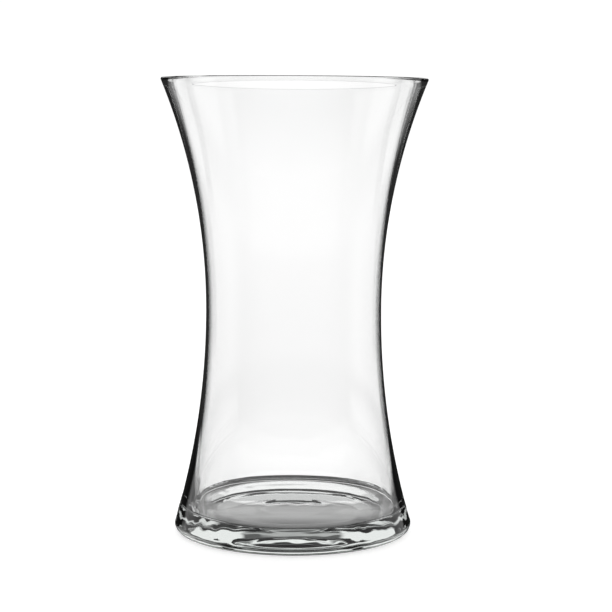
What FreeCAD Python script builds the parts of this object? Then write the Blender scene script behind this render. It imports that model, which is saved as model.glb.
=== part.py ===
"""A tall clear glass vase: a flared, waisted body on a thick, heavy foot.

Lengths are in millimetres. +Z is up and is the axis that the glass was turned about while it was hot.
The origin is at the centre of the resting ring, on the table.

The vase is made of two gathers of glass. The first is blown into the body, a cup with a narrow waist,
a flared and polished lip and its own thin bottom, so it holds water by itself. The second is a solid
foot, fused hot under that bottom, which gives the vase its weight. The two meet on a flat seam.

Each piece is one half section, drawn in the XZ plane and turned about the axis.
"""

import FreeCAD, Part

import os
from math import asin, cos, pi, sin, sqrt, tan

# The outside of the vase.
vase_height = 250.0
rim_radius = 73.2  # before the edge of the lip is rounded
waist_radius = 48.3
waist_height = 124.0
base_radius = 67.2  # where the lower flare would meet the table, before the heel is rounded

# The body.
rim_wall = 5.4
waist_wall = 1.1
straight_height = 66.0  # below this height the bore runs on straight, so the wall thickens to the foot
straight_wall = 1.5  # wall at that height
lip_round = 0.8  # fire-polished edges of the lip
floor_height = 12.5  # edge of the floor, above the table
knee_round = 2.0  # inside corner between the wall and the floor
dip_radius = 48.0  # inside this radius the floor sinks towards its middle
dip_depth = 2.0
body_bottom = 5.0  # the body's own bottom, from the edge of the floor down to the seam

# The foot.
heel_round = 4.5
ring_width = 13.0  # ring that the vase rests on, before the heel is rounded
hollow_depth = 2.0  # the underside inside the ring is hollowed, so that the vase can't rock
pontil_radius = 19.0  # ground and polished spot where the iron was cracked off
pontil_depth = 0.6

seam_height = floor_height - body_bottom
ring_bore = base_radius - ring_width

axis_foot = FreeCAD.Vector(0, 0, 0)
up = FreeCAD.Vector(0, 0, 1)
full_turn = 360
quarter_turn = pi / 2


def point(radius, height):
    return FreeCAD.Vector(radius, 0, height)


def towards(angle):
    """Direction at this angle above outwards."""
    return point(cos(angle), sin(angle))


def bend_radius(rise, reach):
    """Radius of an arc that starts along reach and has moved off by rise at its end."""
    return (rise * rise + reach * reach) / (2 * rise)


def flare_point(waist, end, height):
    """The point at this height on the arc that leaves the waist upright and opens out to the end."""
    bend = bend_radius(end.x - waist.x, end.z - waist.z)
    along = height - waist.z
    return point(waist.x + bend - sqrt(bend * bend - along * along), height)


def flare(waist, end, start, stop):
    """The stretch of that arc between the heights of two of its points."""
    halfway = flare_point(waist, end, (start.z + stop.z) / 2)
    return Part.Arc(start, halfway, stop).toShape()


def corner(waist, end, softness, outward=False):
    """The arc that rounds the corner between a flare and the flat at its end, as three points.

    The first lies on the flare and the last on the flat. The centre of the arc lies on the side of the
    axis or, outward, on the other side of the flare.
    """
    bend = bend_radius(end.x - waist.x, end.z - waist.z)
    flare_centre = point(waist.x + bend, waist.z)
    level = end.z + softness if end.z < waist.z else end.z - softness
    apart = bend - softness if outward else bend + softness
    centre = point(flare_centre.x - sqrt(apart * apart - (level - waist.z) ** 2), level)
    on_flare = flare_centre + (centre - flare_centre) * (bend / apart)
    on_flat = point(centre.x, end.z)
    outwards = (on_flare + on_flat) * 0.5 - centre
    return on_flare, centre + outwards * (softness / outwards.Length), on_flat


def hollow_at(along, radius, depth):
    """How deep a shallow round hollow of this radius and depth is at this distance from the axis."""
    bend = bend_radius(depth, radius)
    return depth - bend + sqrt(bend * bend - along * along)


def knee(inside, straight):
    """The arc that rounds the corner between the straight end of the bore and the floor."""
    lean = asin((inside.z - straight.z) / bend_radius(straight.x - inside.x, straight.z - inside.z))
    level = floor_height + knee_round
    bore = straight.x + (straight.z - level) * tan(lean)
    centre = point(bore - knee_round / cos(lean), level)
    angles = (lean, (lean - quarter_turn) / 2, -quarter_turn)
    return [centre + towards(angle) * knee_round for angle in angles]


def arc(points):
    return Part.Arc(*points).toShape()


def line(start, stop):
    return Part.LineSegment(start, stop).toShape()


def turned(edges):
    """The solid that a closed half section makes about the axis of the vase."""
    section = Part.Face(Part.Wire(edges))
    return section.revolve(axis_foot, up, full_turn)


def blown_body():
    """The first gather: the wall, the lip and the floor that the flower stems stand on."""
    outside = point(waist_radius, waist_height)
    outside_base = point(base_radius, 0)
    outside_rim = point(rim_radius, vase_height)
    seam_edge = flare_point(outside, outside_base, seam_height)

    inside = point(waist_radius - waist_wall, waist_height)
    inside_rim = point(rim_radius - rim_wall, vase_height)
    straight = flare_point(outside, outside_base, straight_height) - point(straight_wall, 0)

    outer_lip = corner(outside, outside_rim, lip_round)
    inner_lip = corner(inside, inside_rim, lip_round, outward=True)
    knee_arc = knee(inside, straight)
    dip = [point(along, floor_height - hollow_at(along, dip_radius, dip_depth))
           for along in (dip_radius, dip_radius / 2, 0)]
    seam_middle = point(0, seam_height)
    return turned([
        line(seam_middle, seam_edge),
        flare(outside, outside_base, seam_edge, outside),
        flare(outside, outside_rim, outside, outer_lip[0]),
        arc(outer_lip),
        line(outer_lip[-1], inner_lip[-1]),
        arc(reversed(inner_lip)),
        flare(inside, inside_rim, inner_lip[0], inside),
        flare(inside, straight, inside, straight),
        line(straight, knee_arc[0]),
        arc(knee_arc),
        line(knee_arc[-1], dip[0]),
        arc(dip),
        line(dip[-1], seam_middle),
    ])


def heavy_foot():
    """The second gather: a solid disc with a rounded heel, a resting ring and a hollowed underside."""
    outside = point(waist_radius, waist_height)
    outside_base = point(base_radius, 0)
    seam_edge = flare_point(outside, outside_base, seam_height)
    heel = corner(outside, outside_base, heel_round)

    hollow = [point(along, hollow_at(along, ring_bore, hollow_depth))
              for along in (ring_bore, (ring_bore + pontil_radius) / 2, pontil_radius)]
    pontil = [point(along, hollow[-1].z + hollow_at(along, pontil_radius, pontil_depth))
              for along in (pontil_radius, pontil_radius / 2, 0)]
    seam_middle = point(0, seam_height)
    return turned([
        line(seam_middle, seam_edge),
        flare(outside, outside_base, seam_edge, heel[0]),
        arc(heel),
        line(heel[-1], hollow[0]),
        arc(hollow),
        arc(pontil),
        line(pontil[-1], seam_middle),
    ])


os.makedirs("parts", exist_ok=True)
for name, solid in {"blown_body": blown_body(), "heavy_foot": heavy_foot()}.items():
    solid.exportStep(f"parts/{name}.step")
    print(name, solid.isValid(), len(solid.Solids), round(solid.Volume), solid.optimalBoundingBox())
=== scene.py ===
"""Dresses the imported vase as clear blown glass, on a white table in a photographer's light tent."""

from math import asin, atan2, cos, degrees, hypot, pi, radians, sin, sqrt, tan

import bpy
from mathutils import Matrix


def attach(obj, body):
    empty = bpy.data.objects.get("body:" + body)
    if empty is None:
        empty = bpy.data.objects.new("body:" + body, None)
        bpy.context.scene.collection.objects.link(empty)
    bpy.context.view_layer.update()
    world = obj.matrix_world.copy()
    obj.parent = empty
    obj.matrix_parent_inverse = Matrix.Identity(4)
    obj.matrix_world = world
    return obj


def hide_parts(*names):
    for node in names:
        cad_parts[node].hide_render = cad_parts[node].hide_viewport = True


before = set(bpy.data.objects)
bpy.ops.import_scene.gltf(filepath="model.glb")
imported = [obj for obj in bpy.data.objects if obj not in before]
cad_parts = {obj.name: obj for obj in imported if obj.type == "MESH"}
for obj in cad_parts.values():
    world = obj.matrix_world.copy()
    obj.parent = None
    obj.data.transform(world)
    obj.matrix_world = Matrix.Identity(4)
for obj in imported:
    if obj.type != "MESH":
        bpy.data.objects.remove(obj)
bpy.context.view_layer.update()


# The vase. One piece of clear soda-lime glass, blown and turned on the iron: the body is a waisted cup with
# a fire-polished lip, and the foot is a second gather fused under it. Nothing shows where they join,
# so one closed skin stands for both. Its half section is drawn, then spun about the vase's axis.

MM = 0.001
SIDES = 256
WELD = MM / 1000  # points closer than this are one

VASE_HEIGHT = 250.0 * MM
RIM_RADIUS = 73.2 * MM
WAIST_RADIUS = 48.3 * MM
WAIST_HEIGHT = 124.0 * MM
BASE_RADIUS = 67.2 * MM
RIM_WALL = 5.4 * MM
WAIST_WALL = 1.1 * MM
STRAIGHT_HEIGHT = 66.0 * MM  # below this the bore runs on straight down to the floor
STRAIGHT_WALL = 1.5 * MM
LIP_ROUND = 0.8 * MM
FLOOR_HEIGHT = 12.5 * MM
KNEE_ROUND = 2.0 * MM
DIP_RADIUS = 48.0 * MM
DIP_DEPTH = 2.0 * MM
HEEL_ROUND = 4.5 * MM
RING_BORE = 54.2 * MM
HOLLOW_DEPTH = 2.0 * MM
PONTIL_RADIUS = 19.0 * MM
PONTIL_DEPTH = 0.6 * MM


def between(start, stop, steps):
    """Evenly spaced values from start to stop, with both ends."""
    return [start + (stop - start) * step / steps for step in range(steps + 1)]


def bend_radius(rise, reach):
    """Radius of an arc that starts along reach and has moved off by rise at its end."""
    return (rise * rise + reach * reach) / (2 * rise)


def flare(waist, end, start, stop, steps):
    """Points from one height to another on the arc that leaves the waist upright and opens out to the end."""
    bend = bend_radius(end[0] - waist[0], end[1] - waist[1])
    return [(waist[0] + bend - sqrt(bend ** 2 - (height - waist[1]) ** 2), height)
            for height in between(start, stop, steps)]


def corner(waist, end, softness, steps, outward=False):
    """Points on the arc that rounds the corner between a flare and the flat at its end, from the flare on."""
    bend = bend_radius(end[0] - waist[0], end[1] - waist[1])
    level = end[1] + softness if end[1] < waist[1] else end[1] - softness
    apart = bend - softness if outward else bend + softness
    middle = (waist[0] + bend - sqrt(apart ** 2 - (level - waist[1]) ** 2), level)
    first = atan2(waist[1] - level, waist[0] + bend - middle[0]) + (pi if outward else 0)
    last = -pi / 2 if end[1] < waist[1] else pi / 2
    turn = (last - first + pi) % (2 * pi) - pi
    return [(middle[0] + softness * cos(angle), middle[1] + softness * sin(angle))
            for angle in between(first, first + turn, steps)]


def hollow(radius, depth, start, stop, steps):
    """Points on a shallow round hollow, as distances from the axis and depths."""
    bend = bend_radius(depth, radius)
    return [(along, depth - bend + sqrt(bend ** 2 - along ** 2)) for along in between(start, stop, steps)]


waist = (WAIST_RADIUS, WAIST_HEIGHT)
foot_edge = (BASE_RADIUS, 0)
rim_edge = (RIM_RADIUS, VASE_HEIGHT)
bore_waist = (WAIST_RADIUS - WAIST_WALL, WAIST_HEIGHT)
bore_rim = (RIM_RADIUS - RIM_WALL, VASE_HEIGHT)

# The outside, from the middle of the underside, round the heel and up to the lip.
underside = hollow(RING_BORE, HOLLOW_DEPTH, PONTIL_RADIUS, RING_BORE, steps=28)
pontil_lift = underside[0][1]
pontil = [(along, pontil_lift + depth)
          for along, depth in hollow(PONTIL_RADIUS, PONTIL_DEPTH, 0, PONTIL_RADIUS, steps=16)]
heel = corner(waist, foot_edge, HEEL_ROUND, steps=12)[::-1]
lip = corner(waist, rim_edge, LIP_ROUND, steps=6)
outside = pontil + underside[1:] + heel
outside += flare(waist, foot_edge, heel[-1][1], WAIST_HEIGHT, steps=50)[1:]
outside += flare(waist, rim_edge, WAIST_HEIGHT, lip[0][1], steps=40)[1:] + lip[1:]

# The bore, from the lip down past the waist to the knee, and over the floor to its middle.
inner_lip = corner(bore_waist, bore_rim, LIP_ROUND, steps=6, outward=True)
straight_outside = flare(waist, foot_edge, STRAIGHT_HEIGHT, STRAIGHT_HEIGHT, steps=1)[0]
straight = (straight_outside[0] - STRAIGHT_WALL, STRAIGHT_HEIGHT)
drop = WAIST_HEIGHT - STRAIGHT_HEIGHT
lean = asin(drop / bend_radius(straight[0] - bore_waist[0], drop))
knee_level = FLOOR_HEIGHT + KNEE_ROUND
knee_middle = straight[0] + (STRAIGHT_HEIGHT - knee_level) * tan(lean) - KNEE_ROUND / cos(lean)
knee = [(knee_middle + KNEE_ROUND * cos(angle), knee_level + KNEE_ROUND * sin(angle))
        for angle in between(lean, -pi / 2, steps=8)]
straight_run = list(zip(between(straight[0], knee[0][0], steps=18), between(straight[1], knee[0][1], steps=18)))
bore = inner_lip[::-1]
bore += flare(bore_waist, bore_rim, inner_lip[0][1], WAIST_HEIGHT, steps=40)[1:]
bore += flare(bore_waist, straight, WAIST_HEIGHT, STRAIGHT_HEIGHT, steps=20)[1:]
bore += straight_run[1:-1] + knee
bore += [(along, FLOOR_HEIGHT) for along in between(knee_middle, DIP_RADIUS, steps=5)[1:-1]]
bore += [(along, FLOOR_HEIGHT - depth)
         for along, depth in hollow(DIP_RADIUS, DIP_DEPTH, DIP_RADIUS, 0, steps=36)]

section = outside + bore

bpy.ops.object.select_all(action="DESELECT")
bpy.ops.mesh.primitive_plane_add(size=MM, location=(0, 0, section[0][1]))
vase = bpy.context.object
vase.name = "glass_vase"
bpy.ops.object.transform_apply(location=True, rotation=True, scale=True)
bpy.ops.object.mode_set(mode="EDIT")
bpy.ops.mesh.select_all(action="SELECT")
bpy.ops.mesh.merge(type="CENTER")
for (radius, height), (next_radius, next_height) in zip(section, section[1:]):
    step = (next_radius - radius, 0, next_height - height)
    bpy.ops.mesh.extrude_region_move(TRANSFORM_OT_translate={"value": step})
bpy.ops.mesh.select_all(action="SELECT")
bpy.ops.mesh.spin(steps=SIDES, angle=radians(360), center=(0, 0, 0), axis=(0, 0, 1))
bpy.ops.mesh.select_all(action="SELECT")
bpy.ops.mesh.remove_doubles(threshold=WELD)
bpy.ops.mesh.normals_make_consistent(inside=False)
bpy.ops.object.mode_set(mode="OBJECT")
bpy.ops.object.shade_smooth()


def from_axis_to(spot):
    """How far this point lies from the axis of the vase."""
    return hypot(spot.x, spot.y)


def outer_radius(height):
    """Radius of the vase's outside at this height."""
    end = foot_edge if height < WAIST_HEIGHT else rim_edge
    return flare(waist, end, height, height, steps=1)[0][0]


def inside_by(spot, wall_share):
    """Whether a point lies further in from the outside than this share of the thinnest wall."""
    return from_axis_to(spot) < outer_radius(spot.z) - wall_share * WAIST_WALL


def within(value, start, full):
    """0 at start, 1 from full on, and a smooth climb between."""
    share = min(max((value - start) / (full - start), 0), 1)
    return share * share * (3 - 2 * share)


def uneven(piece, name, weight_at, wave, height):
    """Moves the surface in and out, in random waves this long and this high, where the weight isn't nil."""
    group = piece.vertex_groups.new(name=name)
    for vertex in piece.data.vertices:
        weight = weight_at(vertex.co)
        if weight > 0:
            group.add([vertex.index], weight, "REPLACE")
    texture = bpy.data.textures.new(name, "CLOUDS")
    texture.noise_scale = wave
    texture.noise_depth = 1
    modifier = piece.modifiers.new(name, "DISPLACE")
    modifier.texture = texture
    modifier.texture_coords = "LOCAL"
    modifier.vertex_group = name
    modifier.strength = height
    bpy.ops.object.select_all(action="DESELECT")
    piece.select_set(True)
    bpy.context.view_layer.objects.active = piece
    bpy.ops.object.modifier_apply(modifier=name)


# The bore leans: the wall is thicker on the left at the foot and on the right at the lip. It is also
# a little uneven, as blown walls are.
LEAN_AT_FLOOR = 0.65 * MM
LEAN_AT_LIP = -0.3 * MM
LEANING_SHARE = 0.8  # of the thinnest wall: what lies further in leans with the bore
LOWEST_LEANING = FLOOR_HEIGHT - 1.1 * DIP_DEPTH
BORE_WAVE, BORE_WAVE_HEIGHT = 60 * MM, 0.2 * MM
WAVY_SHARE = 0.6
BORE_WAVES_FULL = 40 * MM
STILL_UNDER_LIP, WAVY_UNDER_LIP = 1 * MM, 25 * MM

for vertex in vase.data.vertices:
    if vertex.co.z > LOWEST_LEANING and inside_by(vertex.co, LEANING_SHARE):
        vertex.co.x += LEAN_AT_FLOOR + (LEAN_AT_LIP - LEAN_AT_FLOOR) * vertex.co.z / VASE_HEIGHT


def bore_weight(spot):
    """The bore is even at the edge of the floor and just under the lip."""
    if spot.z <= FLOOR_HEIGHT or not inside_by(spot, WAVY_SHARE):
        return 0
    return (within(spot.z, FLOOR_HEIGHT, BORE_WAVES_FULL)
            * within(spot.z, VASE_HEIGHT - STILL_UNDER_LIP, VASE_HEIGHT - WAVY_UNDER_LIP))


uneven(vase, "bore_waves", bore_weight, BORE_WAVE, BORE_WAVE_HEIGHT)

# The foot isn't quite round: its side is gently uneven to the left and right, as is its underside, and
# the waves break up what is seen through it. The ring that it stands on stays flat.
SIDE_WAVE, SIDE_WAVE_HEIGHT = 8 * MM, 0.7 * MM
RING_TOP, HEEL_WAVY = 0.1 * MM, 3 * MM
SIDE_WAVES_TOP, SIDE_WAVES_FULL = 30 * MM, 14 * MM
SIDE_INNER, SIDE_OUTER = 57 * MM, 60 * MM
CALM_MIDDLE, WAVY_SIDES = 16 * MM, 32 * MM  # either side of the vase's middle, seen from the front
UNDER_WAVE, UNDER_WAVE_HEIGHT = 12 * MM, 0.12 * MM
UNDERSIDE_TOP = 4 * MM
CALM_RING = 6 * MM


def side_weight(spot):
    """The side of the foot is even at the ring, high up and in the middle of the front and back."""
    if spot.z <= RING_TOP:
        return 0
    return (within(spot.z, 0, HEEL_WAVY) * within(spot.z, SIDE_WAVES_TOP, SIDE_WAVES_FULL)
            * within(from_axis_to(spot), SIDE_INNER, SIDE_OUTER) * within(abs(spot.x), CALM_MIDDLE, WAVY_SIDES))


def under_weight(spot):
    """The underside is even near the ring."""
    return within(from_axis_to(spot), RING_BORE, RING_BORE - CALM_RING) if spot.z < UNDERSIDE_TOP else 0


uneven(vase, "side_waves", side_weight, SIDE_WAVE, SIDE_WAVE_HEIGHT)
uneven(vase, "under_waves", under_weight, UNDER_WAVE, UNDER_WAVE_HEIGHT)


def linear(hex_colour):
    """An sRGB hex colour as linear red, green, blue and alpha."""
    parts = [int(hex_colour[at:at + 2], 16) / 255 for at in (1, 3, 5)]
    return [part / 12.92 if part <= 0.04045 else ((part + 0.055) / 1.055) ** 2.4 for part in parts] + [1.0]


def add(tree, kind, inputs, **settings):
    """Adds a node with these settings. An input that is a socket is linked, and a plain value is set."""
    node = tree.nodes.new(kind)
    for setting, value in settings.items():
        setattr(node, setting, value)
    for name, value in inputs.items():
        if isinstance(value, bpy.types.NodeSocket):
            tree.links.new(value, node.inputs[name])
        else:
            node.inputs[name].default_value = value
    return node


# Soda-lime glass, blown and fire-polished: no grain and no texture, sharp reflections, and a tint of green
# that is too weak to see except at the rim and the edge of the foot, where one looks through most of it.
glass = bpy.data.materials.new("soda_lime_glass")
glass.use_nodes = True
tree = glass.node_tree
tree.nodes.clear()
skin = add(tree, "ShaderNodeBsdfPrincipled", {
    "Base Color": linear("#FFFFFF"), "Roughness": 0.0, "IOR": 1.5, "Transmission Weight": 1.0})
tint = add(tree, "ShaderNodeVolumeAbsorption", {"Color": linear("#D6E2DB"), "Density": 3.5})
add(tree, "ShaderNodeOutputMaterial", {"Surface": skin.outputs["BSDF"], "Volume": tint.outputs["Volume"]})
vase.data.materials.append(glass)

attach(vase, "root")
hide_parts("blown_body", "heavy_foot")


# The camera, as high and as far off as the photograph's outline says: 2 cm below the rim, just under 1 m away.
# The picture is 612 pixels wide and its focal length is given in them. The angles are in degrees.

FRAME_PIXELS = 612
FOCAL_PIXELS = 1759.1
SENSOR_WIDTH = 36.0
CAMERA_DISTANCE = 0.9653
CAMERA_HEIGHT = 0.2306
LOOKS_RIGHT = 0.403
LOOKS_DOWN = 6.231
ROLLED = 0.301

camera_data = bpy.data.cameras.new("camera")
camera_data.sensor_width = SENSOR_WIDTH
camera_data.lens = SENSOR_WIDTH * FOCAL_PIXELS / FRAME_PIXELS
camera = bpy.data.objects.new("camera", camera_data)
bpy.context.collection.objects.link(camera)
camera.matrix_world = (
    Matrix.Translation((0, -CAMERA_DISTANCE, CAMERA_HEIGHT))
    @ Matrix.Rotation(radians(-LOOKS_RIGHT), 4, "Z")
    @ Matrix.Rotation(radians(90 - LOOKS_DOWN), 4, "X")
    @ Matrix.Rotation(radians(ROLLED), 4, "Z"))
bpy.context.scene.camera = camera


# The table: a plain top of white paper. The camera sees it as white as the backdrop, with a soft shadow
# round the foot. Light that the glass bends or mirrors finds it only right under the foot, where the paper
# glows with painted shade for the little light that comes in: dimmer to the front and towards the edge, and
# brighter with painted light towards the back. Elsewhere it passes on to the light tent.

TABLE_SIZE = 8.0
TABLE_DROP = 0.2 * MM
# The painted shade and painted light under the foot, which only the glass shows: an emission, not lit paper.
SHADED_RADIUS = 61 * MM
LIGHT_FROM_BACK, LIGHT_FULL = 25 * MM, 31 * MM  # how far back the painted light from behind begins
IN_SHADE, IN_LIGHT = 0.43, 1.4
SHADE_WAVES = 60.0  # to the metre
SHADE_WAVE_REACH = 24 * MM
EDGE_DIMS, EDGE_DARK = 39 * MM, 57 * MM
FRONT_DARK, FRONT_DIMS = -40 * MM, -8 * MM
LEFT_AT_EDGE, LEFT_AT_FRONT = 0.01, 0.4  # shares of the painted light left there
WHITE = linear("#FFFFFF")
GLOW = 0.55  # lifts the table to the white of the backdrop and keeps the shadow faint

bpy.ops.object.select_all(action="DESELECT")
bpy.ops.mesh.primitive_plane_add(size=TABLE_SIZE, location=(0, 0, -TABLE_DROP))
table = bpy.context.object
table.name = "table"
paper = bpy.data.materials.new("white_paper")
paper.use_nodes = True
tree = paper.node_tree
tree.nodes.clear()
rays = add(tree, "ShaderNodeLightPath", {}).outputs
place = add(tree, "ShaderNodeNewGeometry", {}).outputs["Position"]
from_axis = add(tree, "ShaderNodeVectorMath", {0: place}, operation="LENGTH").outputs["Value"]
back = add(tree, "ShaderNodeSeparateXYZ", {0: place}).outputs["Y"]
waves = add(tree, "ShaderNodeTexNoise", {"Vector": place, "Scale": SHADE_WAVES, "Detail": 1.0}).outputs["Fac"]
wavy_back = add(tree, "ShaderNodeMath", {
    0: waves, 1: SHADE_WAVE_REACH, 2: back}, operation="MULTIPLY_ADD").outputs[0]
fallen = add(tree, "ShaderNodeMapRange", {
    "Value": wavy_back, "From Min": LIGHT_FROM_BACK, "From Max": LIGHT_FULL,
    "To Min": IN_SHADE, "To Max": IN_LIGHT}).outputs[0]
open_to_light = add(tree, "ShaderNodeMapRange", {
    "Value": from_axis, "From Min": EDGE_DIMS, "From Max": EDGE_DARK,
    "To Min": 1.0, "To Max": LEFT_AT_EDGE}).outputs[0]
front = add(tree, "ShaderNodeMapRange", {
    "Value": back, "From Min": FRONT_DARK, "From Max": FRONT_DIMS,
    "To Min": LEFT_AT_FRONT, "To Max": 1.0}).outputs[0]
evenly = add(tree, "ShaderNodeMath", {0: open_to_light, 1: front}, operation="MULTIPLY").outputs[0]
shade = add(tree, "ShaderNodeMath", {0: fallen, 1: evenly}, operation="MULTIPLY").outputs[0]
# Under the foot, rays from the glass see a glow of this painted strength: painted shade at the front and edge,
# painted light at the back.
under_foot = add(tree, "ShaderNodeMath", {0: from_axis, 1: SHADED_RADIUS}, operation="LESS_THAN").outputs[0]
painted_glow_under_foot = add(tree, "ShaderNodeEmission", {"Color": WHITE, "Strength": shade})
clear = add(tree, "ShaderNodeBsdfTransparent", {})
through = add(tree, "ShaderNodeMixShader", {"Fac": under_foot, 1: clear.outputs[0], 2: painted_glow_under_foot.outputs[0]})
matt = add(tree, "ShaderNodeBsdfDiffuse", {"Color": WHITE})
glow = add(tree, "ShaderNodeEmission", {"Color": WHITE, "Strength": GLOW})
lit = add(tree, "ShaderNodeAddShader", {0: matt.outputs[0], 1: glow.outputs[0]})
seen = add(tree, "ShaderNodeMixShader", {
    "Fac": rays["Is Camera Ray"], 1: through.outputs[0], 2: lit.outputs[0]})
add(tree, "ShaderNodeOutputMaterial", {"Surface": seen.outputs[0]})
table.data.materials.append(paper)


# The light tent. Clear glass shows nothing but its surroundings: a white panel stands behind the vase, black
# cards on either side of it draw the dark edges, and white walls and a white roof fill the rest. Light that
# the glass only bends finds such a panel every 45 degrees round, so that the vase is clear from all sides.

PANEL_EVERY = 45.0
FULL_TURN = 360.0
BLACK_CARD = 0.01

world = bpy.data.worlds.new("light_tent")
bpy.context.scene.world = world
world.use_nodes = True
tree = world.node_tree
tree.nodes.clear()


def together(operation, *values):
    """These brightnesses or angles taken together, two by two from the first, by this operation."""
    total = values[0]
    for value in values[1:]:
        total = add(tree, "ShaderNodeMath", {0: total, 1: value}, operation=operation).outputs[0]
    return total


def soft_edge(angle, middle, soft, before, after):
    """A smooth change from one brightness to another, centred on this many degrees."""
    return add(tree, "ShaderNodeMapRange", {
        "Value": angle, "From Min": middle - soft, "From Max": middle + soft,
        "To Min": before, "To Max": after}, interpolation_type="SMOOTHSTEP").outputs[0]


direction = add(tree, "ShaderNodeTexCoord", {}).outputs["Generated"]
heading = add(tree, "ShaderNodeSeparateXYZ", {0: direction}).outputs
rise = add(tree, "ShaderNodeMath", {0: heading["Z"]}, operation="ARCSINE").outputs[0]
swing = add(tree, "ShaderNodeMath", {0: heading["X"], 1: heading["Y"]}, operation="ARCTAN2").outputs[0]
above = together("MULTIPLY", rise, degrees(1))
around = together("MULTIPLY", swing, degrees(1))
away = add(tree, "ShaderNodeMath", {0: around}, operation="ABSOLUTE").outputs[0]
rays = add(tree, "ShaderNodeLightPath", {}).outputs
only_bent = together("LESS_THAN", rays["Glossy Depth"], 0.5)
past_edge = together("MODULO", together("ADD", around, FULL_TURN + PANEL_EVERY / 2), PANEL_EVERY)
past_panel = together("SUBTRACT", past_edge, PANEL_EVERY / 2)
from_nearest = add(tree, "ShaderNodeMath", {0: past_panel}, operation="ABSOLUTE").outputs[0]
from_panel = add(tree, "ShaderNodeMix", {"Factor": only_bent, "A": away, "B": from_nearest}).outputs[0]


def card(brightness, across, up, soft=3.0, soft_up=3.0, angle=away):
    """One part of the tent: how bright, and its edges in degrees round from behind and above the horizon."""
    edges = [soft_edge(angle, across[0], soft, 0, 1)] if across[0] > 0 else []
    edges += [soft_edge(angle, across[1], soft, 1, 0)] if across[1] < 180 else []
    edges += [soft_edge(above, up[0], soft_up, 0, 1)] if up[0] > -90 else []
    edges += [soft_edge(above, up[1], soft_up, 1, 0)] if up[1] < 90 else []
    return together("MULTIPLY", brightness, *edges)


# The panel is dark near the table, brighter above the horizon and brightest in its middle.
panel = together(
    "MULTIPLY",
    card(1, (0, 17), (-90, 9), soft=1.5, soft_up=1.5, angle=from_panel),
    soft_edge(above, middle=-29, soft=4, before=BLACK_CARD, after=1.0),
    soft_edge(above, middle=-4, soft=5, before=1.04, after=1.11),
    soft_edge(from_panel, middle=2.8, soft=2.2, before=1, after=0.94))
panel_border = card(0.9, (0, 20), (-12, 3), soft=0.7, angle=from_panel)
above_panel = card(0.5, (0, 19), (5, 12.5), soft_up=1.5)
gap_above = card(0.1, (0, 19), (5, 30))
front_wall = card(0.75, (112, 180), (4, 30), soft=12, soft_up=5)

tent = together(
    "MAXIMUM", panel, panel_border, above_panel, gap_above,
    card(0.95, (13, 45), (5, 27), soft=1.5),  # back wall, on both sides of the panel
    card(0.8, (0, 48), (30, 60), soft=5),  # back of the roof
    card(1.2, (0, 60), (50, 90), soft=8),  # lamp over the roof
    card(0.8, (41, 64), (-17, 6)),  # strips beyond the black cards
    card(0.9, (30, 100), (-45, -24), soft=4),  # sheet round the table
    card(0.8, (40, 110), (26, 60), soft=5),  # sides of the roof
    card(0.75, (58, 115), (5, 30)),  # side walls
    card(0.1, (64, 100), (-22, 5), soft=6),  # skirts of the side walls
    front_wall,
    card(0.08, (100, 180), (-22, 5), soft=6),  # skirt of the front wall
    card(0.5, (60, 180), (50, 90), soft=8),  # front of the roof
    card(0.15, (0, 180), (-90, -55), soft=4),  # table, near the vase
    BLACK_CARD)

# What the glass mirrors near the horizon: the black cards up to 43 degrees, and pale walls beyond them.
pale_walls = together(
    "MULTIPLY", soft_edge(away, middle=43, soft=4, before=0.03, after=1),
    soft_edge(away, middle=98, soft=14, before=0.8, after=0.38))
low_strip = card(0.85, (29, 60), (-26, -11), soft=2, soft_up=2)
beside = together("MAXIMUM", pale_walls, low_strip, front_wall)
mirrored = together(
    "MULTIPLY", together("SUBTRACT", 1, only_bent),
    soft_edge(above, middle=-18, soft=3, before=0, after=1),
    soft_edge(above, middle=8, soft=3, before=1, after=0))
around_vase = add(tree, "ShaderNodeMix", {"Factor": mirrored, "A": tent, "B": beside}).outputs[0]
backdrop = together("MAXIMUM", around_vase, rays["Is Camera Ray"])
shining = add(tree, "ShaderNodeBackground", {"Color": backdrop, "Strength": 1.0})
add(tree, "ShaderNodeOutputWorld", {"Surface": shining.outputs[0]})


bpy.context.scene.view_settings.view_transform = "Standard"
